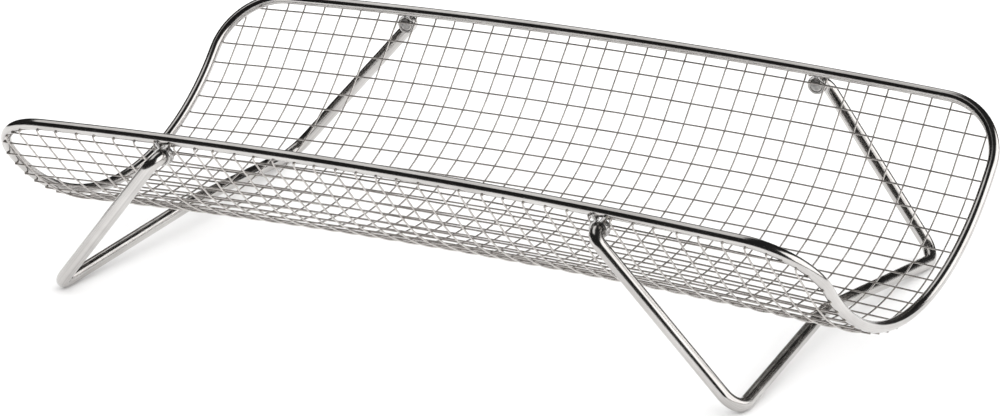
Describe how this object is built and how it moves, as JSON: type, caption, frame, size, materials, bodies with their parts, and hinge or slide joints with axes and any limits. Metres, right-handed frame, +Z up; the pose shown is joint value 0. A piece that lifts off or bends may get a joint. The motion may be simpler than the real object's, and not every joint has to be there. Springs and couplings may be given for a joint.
{
  "type": "grill basket",
  "caption": "Open trough of welded wire mesh in a rounded rim wire, standing on folding U-shaped wire legs hinged under its long rims.",
  "frame": {"origin": "on the floor, under the middle of the basket as it stands on its legs", "axes": "+X along the trough to the right, +Y from its front to its rear, +Z up"},
  "size_m": [0.401, 0.2366, 0.0848],
  "materials": {
    "rim": "bright drawn stainless wire",
    "mesh": "bright fine stainless wire",
    "hanger": "stainless strap, heat-dulled at its welds",
    "leg": "bright drawn stainless wire"
  },
  "bodies": {
    "basket": {"rim_frame": "rim", "cross_wires": "mesh", "long_wire_01": "mesh", "long_wire_02": "mesh", "long_wire_03": "mesh", "long_wire_04": "mesh", "long_wire_05": "mesh", "long_wire_06": "mesh", "long_wire_07": "mesh", "long_wire_08": "mesh", "long_wire_09": "mesh", "long_wire_10": "mesh", "long_wire_11": "mesh", "long_wire_12": "mesh", "long_wire_13": "mesh", "long_wire_14": "mesh", "long_wire_15": "mesh", "long_wire_16": "mesh", "long_wire_17": "mesh", "long_wire_18": "mesh", "long_wire_19": "mesh", "long_wire_20": "mesh", "long_wire_21": "mesh", "long_wire_22": "mesh", "long_wire_23": "mesh", "long_wire_24": "mesh", "long_wire_25": "mesh", "long_wire_26": "mesh", "hanger_front_left": "hanger", "hanger_rear_left": "hanger", "hanger_front_right": "hanger", "hanger_rear_right": "hanger"},
    "left_leg": {"left_leg": "leg"},
    "right_leg": {"right_leg": "leg"}
  },
  "joints": [
    {"name": "left_leg_fold", "type": "hinge", "parent": "basket", "child": "left_leg", "pos_m": [-0.105, 0, 0.0737], "axis": [0, -1, 0], "range_deg": [0, 84]},
    {"name": "right_leg_fold", "type": "hinge", "parent": "basket", "child": "right_leg", "pos_m": [0.105, 0, 0.0737], "axis": [0, 1, 0], "range_deg": [0, 84]}
  ]
}
